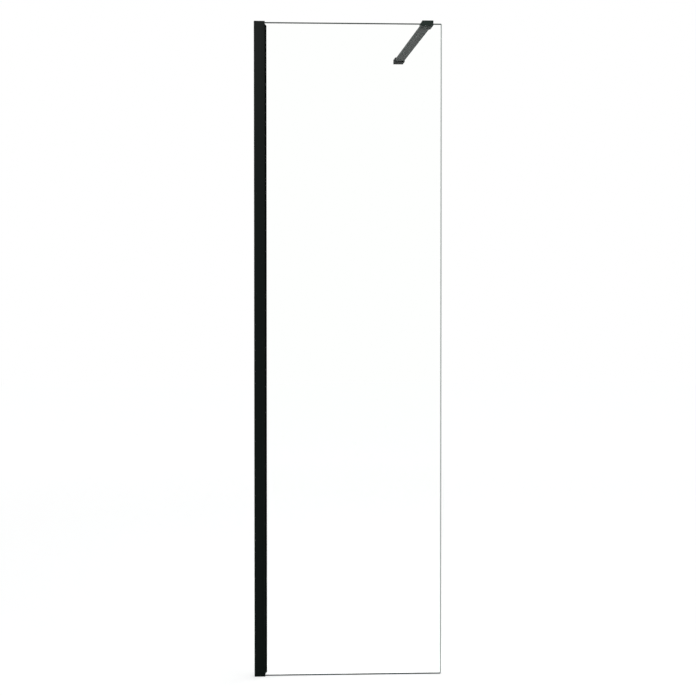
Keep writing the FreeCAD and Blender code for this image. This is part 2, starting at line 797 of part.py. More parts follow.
def make_wall_bracket():
    """Fork on the wall for the far knuckle, with a flange and two countersunk screw holes. Its own origin
    is on the pivot at the fork's underside, with the wall along +Y."""
    body = new_body("wall_bracket")
    block = new_sketch(body, "XY")
    outline(
        block,
        [
            ("-fitting_half", "0", "0"),
            ("fitting_half", "0"),
            ("fitting_half", "bracket_length"),
            ("-fitting_half", "bracket_length"),
        ],
    )
    pad(body, block, "fitting_height")
    wall_y = value("bracket_length")

    def unseen(edge):
        spot = edge.CenterOfMass
        return runs_along(edge, "z") or near(spot.y, wall_y)

    dress(body, "Fillet", "fitting_round", outer_edges(unseen))
    flange = new_sketch(body, "XZ", "bracket_length")
    rectangle(
        flange,
        "-flange_width / 2",
        "fitting_middle - flange_height / 2",
        "flange_width / 2",
        "fitting_middle + flange_height / 2",
    )
    pad(body, flange, "flange_thickness")
    gap = new_sketch(body, "YZ")
    rectangle(gap, f"-(fitting_half + {OVERSHOOT})", "ear_thickness", "fork_root", "ear_top")
    pocket(body, gap)
    pin_recess(body, "0")
    holes = new_sketch(body, "XZ", "fork_root")
    for side in ("-", ""):
        circle_at(holes, f"{side}bracket_hole_spacing / 2", "fitting_middle", "bracket_hole_radius")
    pocket(body, holes, "bracket_back")
    root_y = value("fork_root")
    hole_radius = value("bracket_hole_radius")

    def hole_mouth(edge):
        if not isinstance(edge.Curve, Part.Circle):
            return False
        return near(edge.Curve.Radius, hole_radius) and near(edge.Curve.Center.y, root_y)

    dress(body, "Chamfer", "countersink_radius - bracket_hole_radius", hole_mouth)
    move(body, "arm_x", "wall_pivot_y", "fitting_base")
    return body


nodes = [
    make_wall_channel(),
    make_glazing_profile(),
    make_glass_panel(),
    make_gasket("front_gasket", -1),
    make_gasket("rear_gasket", 1),
    make_edge_packers(),
    make_top_cap(),
    make_lock_screws(),
    make_lock_nuts(),
    make_screw_caps(),
    make_clamp_body(),
    make_grip_piece("clamp_front_pad", "-slot_front", "pad_thickness"),
    make_grip_piece("clamp_rear_pad", "glass_half", "pad_thickness"),
    make_grip_piece("clamp_plate", "slot_front", "plate_thickness"),
    make_clamp_screws(),
    make_pivot_pin("clamp_pivot_pin", "clamp_pivot_y"),
    make_knuckle("glass_end_knuckle", "clamp_pivot_y", turned=False),
    make_washers("glass_end_washers", "clamp_pivot_y"),
    make_support_bar(),
    make_bar_screws(),
    make_knuckle("wall_end_knuckle", "wall_pivot_y", turned=True),
    make_washers("wall_end_washers", "wall_pivot_y"),
    make_pivot_pin("wall_pivot_pin", "wall_pivot_y"),
    make_wall_bracket(),
]
doc.recompute()

for item in doc.Objects:
    if "Invalid" in item.State or "Error" in item.State:
        raise RuntimeError(f"{item.Label} failed: {item.State}")
for node in nodes:
    if node.Shape.isNull() or not node.Shape.isValid() or not node.Shape.Solids:
        raise RuntimeError(f"{node.Label} has no valid solid")

os.makedirs("parts", exist_ok=True)
for node in nodes:
    node.Shape.exportStep(f"parts/{node.Label}.step")
    print(f"{node.Label}: {len(node.Shape.Solids)} solids, {node.Shape.Volume:.1f} mm3")
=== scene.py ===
"""Looks of a fixed shower screen: clear glass in a black wall profile, steadied by a flat arm."""

import logging
import math
from collections.abc import Sequence
from dataclasses import dataclass, field, replace
from enum import Enum

import bmesh
import bpy
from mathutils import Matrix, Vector


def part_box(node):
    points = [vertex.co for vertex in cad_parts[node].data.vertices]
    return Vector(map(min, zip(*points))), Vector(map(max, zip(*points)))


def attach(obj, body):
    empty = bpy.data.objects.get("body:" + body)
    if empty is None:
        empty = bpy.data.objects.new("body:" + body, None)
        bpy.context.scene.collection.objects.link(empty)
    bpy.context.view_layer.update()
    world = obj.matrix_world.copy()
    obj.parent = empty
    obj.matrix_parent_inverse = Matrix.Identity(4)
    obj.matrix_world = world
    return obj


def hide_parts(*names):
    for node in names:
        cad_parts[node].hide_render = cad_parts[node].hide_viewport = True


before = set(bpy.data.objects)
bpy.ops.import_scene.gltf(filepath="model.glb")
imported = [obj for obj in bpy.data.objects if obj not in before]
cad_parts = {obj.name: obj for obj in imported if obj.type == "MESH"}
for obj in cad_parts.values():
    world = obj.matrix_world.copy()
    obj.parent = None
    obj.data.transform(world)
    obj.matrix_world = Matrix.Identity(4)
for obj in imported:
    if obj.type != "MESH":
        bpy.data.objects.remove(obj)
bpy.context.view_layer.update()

LOG = logging.getLogger("shower_screen")
MM = 0.001
UP = Vector((0.0, 0.0, 1.0))
DOWN = Vector((0.0, 0.0, -1.0))
BACK = Vector((0.0, 1.0, 0.0))
# Points round a turned piece, a multiple of 4 and of 6 so that squares and hexagons get their corners
SIDES = 48
# Edges that bend more than this stay crisp
CRISP = math.radians(35.0)
# Blender's noise hardly leaves this range
NOISE_LOW, NOISE_HIGH = 0.3, 0.7
# Lines across one blotch of colour
BLOTCH_LINES = 12.0


class Body(Enum):
    """Bodies that new pieces move with."""

    SCREEN = "screen"
    CLAMP = "clamp"
    ARM = "arm"
    BRACKET = "bracket"


class Slot(Enum):
    """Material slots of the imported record."""

    BLACK_ALUMINIUM = "black_aluminium"
    CHANNEL_ALUMINIUM = "channel_aluminium"
    CLEAR_GLASS = "clear_glass"
    GASKET_RUBBER = "gasket_rubber"
    BLACK_PLASTIC = "black_plastic"
    WHITE_NYLON = "white_nylon"
    STAINLESS_STEEL = "stainless_steel"
    BLACK_STEEL = "black_steel"


class Grain(Enum):
    """Scale of a pattern in X, Y and Z: a small share draws it out into lines along that axis."""

    UPRIGHT = (1.0, 1.0, 0.004)
    ALONG_ARM = (1.0, 0.004, 1.0)
    EVEN = (1.0, 1.0, 1.0)


class Shape(Enum):
    """Outline of a turned piece's ring: its number of corners, none on a circle."""

    ROUND = 0
    SQUARE = 4
    HEXAGON = 6

    def reach(self, angle: float) -> float:
        """Share of the corner radius that the outline reaches.

        Args:
            angle: angle round the axis, with a corner at 0.

        Returns:
            1 at a corner and on a circle, less between corners.
        """
        if self is Shape.ROUND:
            return 1.0
        sector = math.tau / self.value
        return math.cos(sector / 2) / math.cos(angle % sector - sector / 2)


def linear(colour: str) -> tuple[float, ...]:
    """Turns an sRGB hex colour into linear light.

    Args:
        colour: six hex digits after a hash sign.

    Returns:
        Red, green, blue and a full alpha.
    """
    shares = [int(colour[i : i + 2], 16) / 255 for i in (1, 3, 5)]
    return tuple(c / 12.92 if c <= 0.04045 else ((c + 0.055) / 1.055) ** 2.4 for c in shares) + (1.0,)


def add(
    tree: bpy.types.NodeTree, kind: str, inputs: dict | None = None, **settings: object
) -> bpy.types.Node:
    """Adds one node to a tree, with its settings, values and links.

    Args:
        tree: tree that gets the node.
        kind: Blender's name for the type of node.
        inputs: what the inputs get, by name or number: a value, or a socket to link from.
        settings: the node's own properties.

    Returns:
        The new node.
    """
    node = tree.nodes.new(kind)
    for name, setting in settings.items():
        setattr(node, name, setting)
    for key, given in (inputs or {}).items():
        if isinstance(given, bpy.types.NodeSocket):
            tree.links.new(given, node.inputs[key])
        else:
            node.inputs[key].default_value = given
    return node


@dataclass(frozen=True)
class Finish:
    """A surface: one Principled shader, with the marks that its making leaves.

    Attributes:
        name: the material and how its surface was made.
        slot: slot of the record that it belongs to; not used.
        colour: main colour, sRGB hex.
        second: colour at the light end of its unevenness, sRGB hex.
        roughness: least and greatest roughness.
        metallic: 1 on bare metal.
        specular: the shader's specular level.
        grain: which way the surface was drawn.
        line_mm: spacing of the lines or blotches that change the roughness.
        bump_mm: width of the relief.
        bump_depth_mm: height of the relief.
    """

    name: str
    slot: Slot
    colour: str
    second: str
    roughness: tuple[float, float]
    metallic: float = 0.0
    specular: float = 0.5
    grain: Grain = Grain.EVEN
    line_mm: float = 2.0
    bump_mm: float = 1.0
    bump_depth_mm: float = 0.01

    def material(self) -> bpy.types.Material:
        """Makes the material on its first use.

        Returns:
            The material, the same one each time.
        """
        made = bpy.data.materials.get(self.name)
        if made is None:
            made = bpy.data.materials.new(self.name)
            made.use_nodes = True
            tree = made.node_tree
            shader = tree.nodes["Principled BSDF"]
            shader.inputs["Metallic"].default_value = self.metallic
            shader.inputs["Specular IOR Level"].default_value = self.specular
            self.mark(tree, shader)
        return made

    def unevenness(
        self, tree: bpy.types.NodeTree, size_mm: float, ends: tuple[float, float]
    ) -> bpy.types.NodeSocket:
        """Adds an uneven field over the surface, drawn out along the grain.

        Args:
            tree: the material's tree.
            size_mm: width of one line or blotch.
            ends: values at the low and the high end.

        Returns:
            The socket that gives the field.
        """
        place = add(tree, "ShaderNodeTexCoord")
        repeats = [share / (size_mm * MM) for share in self.grain.value]
        fitted = add(tree, "ShaderNodeMapping", {"Vector": place.outputs["Object"], "Scale": repeats})
        pattern = {"Vector": fitted.outputs["Vector"], "Scale": 1.0, "Detail": 2.0}
        noise = add(tree, "ShaderNodeTexNoise", pattern)
        span = {
            "Value": noise.outputs[0],
            "From Min": NOISE_LOW,
            "From Max": NOISE_HIGH,
            "To Min": ends[0],
            "To Max": ends[1],
        }
        return add(tree, "ShaderNodeMapRange", span).outputs["Result"]

    def mark(self, tree: bpy.types.NodeTree, shader: bpy.types.Node) -> None:
        """Adds the blotches, lines and relief that the making leaves.

        Args:
            tree: the material's tree.
            shader: its Principled shader.
        """
        blotch = self.unevenness(tree, BLOTCH_LINES * self.line_mm, (0.0, 1.0))
        # Inputs 6 and 7 and output 2 are the Mix node's colours
        tone = {0: blotch, 6: linear(self.colour), 7: linear(self.second)}
        mixed = add(tree, "ShaderNodeMix", tone, data_type="RGBA")
        tree.links.new(mixed.outputs[2], shader.inputs["Base Color"])
        tree.links.new(self.unevenness(tree, self.line_mm, self.roughness), shader.inputs["Roughness"])
        height = self.unevenness(tree, self.bump_mm, (0.0, 1.0))
        bump = add(tree, "ShaderNodeBump", {"Height": height, "Distance": self.bump_depth_mm * MM})
        tree.links.new(bump.outputs["Normal"], shader.inputs["Normal"])


@dataclass(frozen=True)
class FloatGlass(Finish):
    """Clear float glass, washed and wiped: a pane that is hardly there, with a breath of green in it.

    Attributes:
        ior: refractive index of soda-lime glass.
        mirror: share of the mirror image that its faces keep, low so that it veils nothing behind them.
    """

    ior: float = 1.5
    mirror: float = 0.22

    def mark(self, tree: bpy.types.NodeTree, shader: bpy.types.Node) -> None:
        """Makes the shader clear, with the faint haze of a wiped pane.

        Args:
            tree: the material's tree.
            shader: its Principled shader.
        """
        shader.inputs["Base Color"].default_value = linear(self.colour)
        shader.inputs["Transmission Weight"].default_value = 1.0
        shader.inputs["IOR"].default_value = self.ior
        shader.inputs["Specular Tint"].default_value = (self.mirror, self.mirror, self.mirror, 1.0)
        tree.links.new(self.unevenness(tree, self.line_mm, self.roughness), shader.inputs["Roughness"])


@dataclass(frozen=True)
class Nylon(Finish):
    """Natural moulded nylon: milky, with light going a little way in.

    Attributes:
        depth_mm: how far light goes in.
        milkiness: share of the light that goes in.
    """

    depth_mm: float = 0.8
    milkiness: float = 0.3

    def mark(self, tree: bpy.types.NodeTree, shader: bpy.types.Node) -> None:
        """Adds the milky depth to the usual marks.

        Args:
            tree: the material's tree.
            shader: its Principled shader.
        """
        super().mark(tree, shader)
        shader.inputs["Subsurface Weight"].default_value = self.milkiness
        shader.inputs["Subsurface Scale"].default_value = self.depth_mm * MM


# Matt black polyester powder, baked on: a deep cool black on the upright, a satin one on the bar, which
# turns grey where it mirrors the floor at a low angle, and dull ones on the fittings. The copy on the
# knuckle and bracket at the wall is darker and duller: painted shade for the shade that falls there.
# Every copy has the faint orange peel of the coat and, along a section, a ghost of the die's lines.
# Both patterns are finer than a pixel on the real thing and are drawn coarser, to show at all.
POWDER_COAT_UPRIGHT = Finish(
    name="aluminium_matt_black_powder_coat_upright",
    slot=Slot.BLACK_ALUMINIUM,
    colour="#090E0C",
    second="#0C1210",
    roughness=(0.33, 0.4),
    specular=0.035,
    grain=Grain.UPRIGHT,
    line_mm=2.5,
    bump_mm=1.6,
    bump_depth_mm=0.015,
)
POWDER_COAT_BAR = Finish(
    name="aluminium_matt_black_powder_coat_along_arm",
    slot=Slot.BLACK_ALUMINIUM,
    colour="#172320",
    second="#1D2926",
    roughness=(0.5, 0.6),
    specular=0.09,
    grain=Grain.ALONG_ARM,
    line_mm=2.5,
    bump_mm=1.6,
    bump_depth_mm=0.003,
)
POWDER_COAT_MILLED = Finish(
    name="aluminium_matt_black_powder_coat_milled",
    slot=Slot.BLACK_ALUMINIUM,
    colour="#262E2B",
    second="#2B3330",
    roughness=(0.52, 0.62),
    specular=0.03,
    line_mm=1.5,
    bump_mm=0.9,
    bump_depth_mm=0.003,
)
# A darker, duller copy of the milled coat: painted shade on the knuckle and bracket at the wall
POWDER_COAT_WALL_END_PAINTED_SHADE = replace(
    POWDER_COAT_MILLED,
    name="aluminium_matt_black_powder_coat_wall_end_painted_shade",
    colour="#131A18",
    second="#171E1C",
    specular=0.008,
)
# Clear toughened float glass: all but unseen, with a breath of haze in wide streaks from wiping
CLEAR_GLASS = FloatGlass(
    name="float_glass_clear_toughened",
    slot=Slot.CLEAR_GLASS,
    colour="#FEFFFE",
    second="#FEFFFE",
    roughness=(0.0, 0.012),
    line_mm=140.0,
)
# Edges ground round with a diamond wheel, given an opaque dark bottle green with a soft gloss: painted
# shade, standing in for the dark that a glass edge shows; from the front they draw the pane's thin dark
# outline. The wheel's marks are drawn coarser than the tenth of a millimetre that they have, to show
GROUND_EDGE_PAINTED_SHADE = Finish(
    name="float_glass_ground_edge_painted_shade",
    slot=Slot.CLEAR_GLASS,
    colour="#16251F",
    second="#20312A",
    roughness=(0.14, 0.24),
    specular=0.3,
    line_mm=4.0,
    bump_mm=1.5,
    bump_depth_mm=0.01,
)
# The free edge is polished after grinding and is glossier; its opaque pale grey is painted light,
# standing in for the light that comes through a polished glass edge
POLISHED_EDGE_PAINTED_LIGHT = Finish(
    name="float_glass_polished_edge_painted_light",
    slot=Slot.CLEAR_GLASS,
    colour="#A0A7A4",
    second="#AEB4B1",
    roughness=(0.1, 0.2),
    grain=Grain.UPRIGHT,
    line_mm=4.0,
    bump_mm=3.0,
    bump_depth_mm=0.005,
)
# Extruded black rubber: the deepest black of the screen, dull, with lines from the die, which are finer
# than a fifth of a millimetre and are drawn coarser to show
RUBBER = Finish(
    name="epdm_rubber_extruded_black",
    slot=Slot.GASKET_RUBBER,
    colour="#040505",
    second="#070808",
    roughness=(0.55, 0.7),
    specular=0.02,
    grain=Grain.UPRIGHT,
    line_mm=1.2,
    bump_mm=0.9,
    bump_depth_mm=0.02,
)
# Moulded black plastic with a spark-eroded texture of about a tenth of a millimetre, drawn coarser to
# show: a little paler and duller than the coat
PLASTIC = Finish(
    name="abs_moulded_black_spark_texture",
    slot=Slot.BLACK_PLASTIC,
    colour="#101312",
    second="#161A19",
    roughness=(0.5, 0.62),
    specular=0.18,
    line_mm=0.8,
    bump_mm=0.5,
    bump_depth_mm=0.03,
)
# Black anodised extrusion: dark satin metal with long lines, drawn coarser than real ones to show; it is
# seen from the wall, or when the profile is drawn out
ANODISED = Finish(
    name="aluminium_black_anodised_extruded",
    slot=Slot.CHANNEL_ALUMINIUM,
    colour="#282A2B",
    second="#303234",
    roughness=(0.32, 0.46),
    metallic=1.0,
    grain=Grain.UPRIGHT,
    line_mm=0.8,
    bump_mm=0.8,
    bump_depth_mm=0.008,
)
# Cold-formed stainless steel: grey, fairly bright, with rolled-in blotches
STAINLESS = Finish(
    name="stainless_steel_cold_formed",
    slot=Slot.STAINLESS_STEEL,
    colour="#B9B8B4",
    second="#C8C7C3",
    roughness=(0.2, 0.36),
    metallic=1.0,
    line_mm=0.5,
    bump_mm=0.4,
    bump_depth_mm=0.006,
)
# Black oxide on steel: oily near-black metal, smoother than the coat round it
BLACK_OXIDE = Finish(
    name="steel_black_oxide",
    slot=Slot.BLACK_STEEL,
    colour="#1B1C1E",
    second="#26282A",
    roughness=(0.3, 0.42),
    metallic=1.0,
    line_mm=0.5,
    bump_mm=0.4,
    bump_depth_mm=0.006,
)
# Natural moulded nylon: milky white, with soft edges where light comes through
NATURAL_NYLON = Nylon(
    name="nylon_natural_moulded",
    slot=Slot.WHITE_NYLON,
    colour="#E6E3D8",
    second="#EFEDE4",
    roughness=(0.38, 0.5),
    line_mm=1.5,
    bump_mm=0.7,
    bump_depth_mm=0.01,
)


@dataclass(frozen=True)
class Ring:
    """One ring of a turned piece.

    Attributes:
        radius: radius to its corners, mm.
        height: place along the axis, mm.
        shape: outline.
    """

    radius: float
    height: float
    shape: Shape = Shape.ROUND


@dataclass(frozen=True)
class Socket:
    """Hexagon socket of a screw or pin.

    Attributes:
        corner: radius to its corners, mm.
        depth: its depth, mm.
        lead: width and depth of the bevel into it, mm.
    """

    corner: float
    depth: float
    lead: tuple[float, float]

    def rings(self, top: float) -> list[Ring]:
        """Rings of the socket.

        Args:
            top: height of the face that it is cut into, mm.

        Returns:
            The rings, from the bevel to the floor.
        """
        width, fall = self.lead
        return [
            Ring(self.corner + width, top),
            Ring(self.corner, top - fall, Shape.HEXAGON),
            Ring(self.corner, top - self.depth, Shape.HEXAGON),
        ]


def loft(name: str, loops: Sequence[Sequence[Vector]], closed: bool = False) -> bpy.types.Mesh:
    """Joins rings of points, each to the next.

    Args:
        name: name of the mesh.
        loops: rings with the same number of points, in metres.
        closed: joins the last ring to the first, as on a washer; otherwise each end gets a face.

    Returns:
        A closed mesh whose faces point outwards.
    """
    shape = bmesh.new()
    rows = [[shape.verts.new(point) for point in loop] for loop in loops]
    pairs = list(zip(rows, rows[1:]))
    if closed:
        pairs.append((rows[-1], rows[0]))
    else:
        shape.faces.new(rows[0])
        shape.faces.new(rows[-1])
    for low, high in pairs:
        for here in range(len(low)):
            there = (here + 1) % len(low)
            shape.faces.new((low[here], low[there], high[there], high[here]))
    bmesh.ops.recalc_face_normals(shape, faces=shape.faces[:])
    mesh = bpy.data.meshes.new(name)
    shape.to_mesh(mesh)
    shape.free()
    mesh.shade_smooth()
    mesh.set_sharp_from_angle(angle=CRISP)
    return mesh


def turned(
    name: str, axis: Vector, rings: Sequence[Ring], twist: float = 0.0, closed: bool = False
) -> bpy.types.Mesh:
    """Makes a turned or cold-formed piece about an axis through the origin.

    Args:
        name: name of the mesh.
        axis: way that the rings' heights go.
        rings: rings in order.
        twist: turn of every ring about the axis.
        closed: as for loft.

    Returns:
        The mesh, in metres.
    """
    tilt = UP.rotation_difference(axis)
    loops = []
    for ring in rings:
        loop = []
        for step in range(SIDES):
            angle = math.tau * step / SIDES
            reach = ring.radius * ring.shape.reach(angle)
            x, y = reach * math.cos(angle + twist), reach * math.sin(angle + twist)
            loop.append(tilt @ Vector((x, y, ring.height)) * MM)
        loops.append(loop)
    return loft(name, loops, closed)


def rounded(corners: Sequence[tuple[float, float, float]], steps: int = 5) -> list[Vector]:
    """Turns each corner of an outline into a curve.

    Args:
        corners: place and rounding of each corner.
        steps: lengths in each curve.

    Returns:
        The outline's points, as flat vectors.
    """
    spots = [Vector(corner[:2]) for corner in corners]
    points = []
    for i, spot in enumerate(spots):
        radius = corners[i][2]
        start = spot + (spots[i - 1] - spot).normalized() * radius
        end = spot + (spots[(i + 1) % len(spots)] - spot).normalized() * radius
        for step in range(steps + 1 if radius else 1):
            share = step / steps
            points.append(start * (1 - share) ** 2 + spot * 2 * share * (1 - share) + end * share**2)
    return points


def block(name: str, size: Vector, edge: float) -> bpy.types.Mesh:
    """Makes a block about the origin with rounded upright edges and chamfered ends.

    Args:
        name: name of the mesh.
        size: outer sizes, mm.
        edge: rounding and chamfer, mm.

    Returns:
        The mesh, in metres.
    """
    loops = []
    half = size.z / 2
    for height, inset in ((-half, edge), (edge - half, 0.0), (half - edge, 0.0), (half, edge)):
        x, y = size.x / 2 - inset, size.y / 2 - inset
        outline = rounded([(-x, -y, edge), (x, -y, edge), (x, y, edge), (-x, y, edge)], steps=3)
        loops.append([Vector((p.x, p.y, height)) * MM for p in outline])
    return loft(name, loops)


def place(
    name: str, mesh: bpy.types.Mesh, body: Body, node: str, *finishes: Finish
) -> bpy.types.Object:
    """Puts a finished piece into the scene, with its body and the solid that it stands for.

    Args:
        name: name of the piece.
        mesh: its mesh, in place.
        body: body that it moves with.
        node: solid that it replaces.
        finishes: its finishes, in the order of the mesh's material numbers.

    Returns:
        The object.
    """
    for finish in finishes:
        if finish.name not in mesh.materials:
            mesh.materials.append(finish.material())
    piece = bpy.data.objects.new(name, mesh)
    bpy.context.scene.collection.objects.link(piece)
    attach(piece, body.value)
    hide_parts(node)
    LOG.info("%s: %d faces on %s, for %s", name, len(mesh.polygons), body.value, node)
    return piece


def dress(finish: Finish, *nodes: str) -> None:
    """Gives solids that stay in view their finish.

    Args:
        finish: the finish.
        nodes: names of the solids.
    """
    for node in nodes:
        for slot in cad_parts[node].material_slots:
            slot.material = finish.material()
        LOG.info("%s: dressed as %s", node, finish.name)


@dataclass(frozen=True)
class Row:
    """Like pieces set out along a straight line by Geometry Nodes.

    Attributes:
        first: place of the first piece, metres.
        last: place of the last piece, metres.
        count: number of pieces.
        axis: axis that a piece may stand turned about.
        spin: greatest turn, since screws stop at any angle.
        seed: seed of the turns.
    """

    first: Vector
    last: Vector
    count: int = 1
    axis: Vector = field(default_factory=lambda: UP)
    spin: float = 0.0
    seed: int = 1

    @classmethod
    def upright(cls, node: str, count: int, y: float, reach: float, **turn: object) -> "Row":
        """Row of places up the profile.

        Args:
            node: solid whose box gives the ends.
            count: number of pieces.
            y: place in depth, metres.
            reach: half a piece's height, metres.
            turn: turn of the pieces.

        Returns:
            The row.
        """
        low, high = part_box(node)
        x = (low.x + high.x) / 2
        return cls(Vector((x, y, low.z + reach)), Vector((x, y, high.z - reach)), count, **turn)

    @staticmethod
    def tree() -> bpy.types.NodeTree:
        """Makes the tree on its first use.

        Returns:
            Tree that sets copies of a pattern piece on a line.
        """
        name = "row_of_pieces"
        if name in bpy.data.node_groups:
            return bpy.data.node_groups[name]
        tree = bpy.data.node_groups.new(name, "GeometryNodeTree")
        sockets = {
            "Pattern": "NodeSocketObject",
            "First": "NodeSocketVector",
            "Last": "NodeSocketVector",
            "Count": "NodeSocketInt",
            "Axis": "NodeSocketVector",
            "Spin": "NodeSocketFloat",
            "Seed": "NodeSocketInt",
            "Finish": "NodeSocketMaterial",
        }
        for label, kind in sockets.items():
            tree.interface.new_socket(label, in_out="INPUT", socket_type=kind)
        tree.interface.new_socket("Geometry", in_out="OUTPUT", socket_type="NodeSocketGeometry")
        given = add(tree, "NodeGroupInput").outputs
        ends = {"Count": given["Count"], "Start Location": given["First"], "Offset": given["Last"]}
        line = add(tree, "GeometryNodeMeshLine", ends, mode="END_POINTS")
        pattern = add(tree, "GeometryNodeObjectInfo", {"Object": given["Pattern"]})
        # Inputs 2 and 3 and output 1 are the Random Value node's plain numbers
        angle = add(tree, "FunctionNodeRandomValue", {2: 0.0, 3: given["Spin"], "Seed": given["Seed"]})
        about = {"Axis": given["Axis"], "Angle": angle.outputs[1]}
        turn = add(tree, "FunctionNodeAxisAngleToRotation", about)
        copies = {
            "Points": line.outputs["Mesh"],
            "Instance": pattern.outputs["Geometry"],
            "Rotation": turn.outputs["Rotation"],
        }
        placed = add(tree, "GeometryNodeInstanceOnPoints", copies)
        real = add(tree, "GeometryNodeRealizeInstances", {"Geometry": placed.outputs["Instances"]})
        finish = {"Geometry": real.outputs["Geometry"], "Material": given["Finish"]}
        painted = add(tree, "GeometryNodeSetMaterial", finish)
        add(tree, "NodeGroupOutput", {"Geometry": painted.outputs["Geometry"]})
        return tree

    def lay(
        self, name: str, pattern: bpy.types.Mesh, body: Body, node: str, finish: Finish
    ) -> None:
        """Sets the pieces out and puts them into the scene as one plain mesh.

        Args:
            name: name of the object.
            pattern: one piece, about the origin.
            body: body that they move with.
            node: solid that they replace.
            finish: finish of all the pieces.
        """
        model = bpy.data.objects.new(f"{name}_pattern", pattern)
        carrier = bpy.data.objects.new(f"{name}_row", bpy.data.meshes.new(f"{name}_row"))
        modifier = carrier.modifiers.new("row", "NODES")
        modifier.node_group = self.tree()
        given = {
            "Pattern": model,
            "First": self.first,
            "Last": self.last,
            "Count": self.count,
            "Axis": self.axis,
            "Spin": self.spin,
            "Seed": self.seed,
            "Finish": finish.material(),
        }
        for socket in modifier.node_group.interface.items_tree:
            if socket.in_out == "INPUT":
                modifier[socket.identifier] = given[socket.name]
        for item in (model, carrier):
            bpy.context.scene.collection.objects.link(item)
        evaluated = carrier.evaluated_get(bpy.context.evaluated_depsgraph_get())
        mesh = bpy.data.meshes.new_from_object(evaluated)
        mesh.name = name
        carrier.modifiers.remove(modifier)
        for item in (carrier, model):
            bpy.data.objects.remove(item)
        place(name, mesh, body, node, finish)


@dataclass
class GlassPane:
    """The glass: two clear faces, edges ground round, and small rounded corners on its free side.

    Attributes:
        edge: how far the rounded edge reaches in over a face, mm.
        edge_steps: steps from face to face round the edge.
        corner: rounding of the free corners, mm.
        hidden_corner: rounding of the corners in the pocket, mm.
        corner_steps: lengths in a corner's curve.
        skin: how far the faces lie inside the solid's, so that they touch no neighbour, mm.
    """

    edge: float = 3.8
    edge_steps: int = 8
    corner: float = 4.6
    hidden_corner: float = 0.2
    corner_steps: int = 6
    skin: float = 0.02

    def outline(self, inset: float) -> list[Vector]:
        """Outline of the pane in X and Z.

        Args:
            inset: distance inside the outer outline, mm.

        Returns:
            The outline's points, mm.
        """
        low, high = (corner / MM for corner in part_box("glass_panel"))
        left, right, foot, top = low.x + inset, high.x - inset, low.z + inset, high.z - inset
        free, hidden = self.corner - inset, self.hidden_corner
        corners = [(left, foot, hidden), (right, foot, free), (right, top, free), (left, top, hidden)]
        return rounded(corners, self.corner_steps)

    def build(self) -> None:
        """Builds and dresses the pane."""
        low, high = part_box("glass_panel")
        half = high.y / MM - self.skin
        loops = []
        for step in range(self.edge_steps + 1):
            angle = math.pi * (step / self.edge_steps - 0.5)
            outline = self.outline(self.edge * (1 - math.cos(angle)))
            loops.append([Vector((p.x, half * math.sin(angle), p.y)) * MM for p in outline])
        mesh = loft("glass_pane", loops)
        # Material numbers of the edge strips: the ground edges' opaque dark colour is painted shade
        ground, polished = 1, 2
        rim = set()
        for face in mesh.polygons:
            # Only the two clear faces have more corners than the strips round the edge
            if len(face.vertices) > 4:
                rim.update(face.edge_keys)
            else:
                from_end = min(face.center.z - low.z, high.z - face.center.z)
                beside = high.x - face.center.x < from_end
                # The free edge's opaque pale colour is painted light
                face.material_index = polished if beside else ground
        for edge in mesh.edges:
            if edge.key in rim:
                edge.use_edge_sharp = True
        finishes = (CLEAR_GLASS, GROUND_EDGE_PAINTED_SHADE, POLISHED_EDGE_PAINTED_LIGHT)
        pane = place("glass_pane", mesh, Body.SCREEN, "glass_panel", *finishes)
        # Lamps shine through the pane without the cost of tracing their light through it
        pane.visible_shadow = False


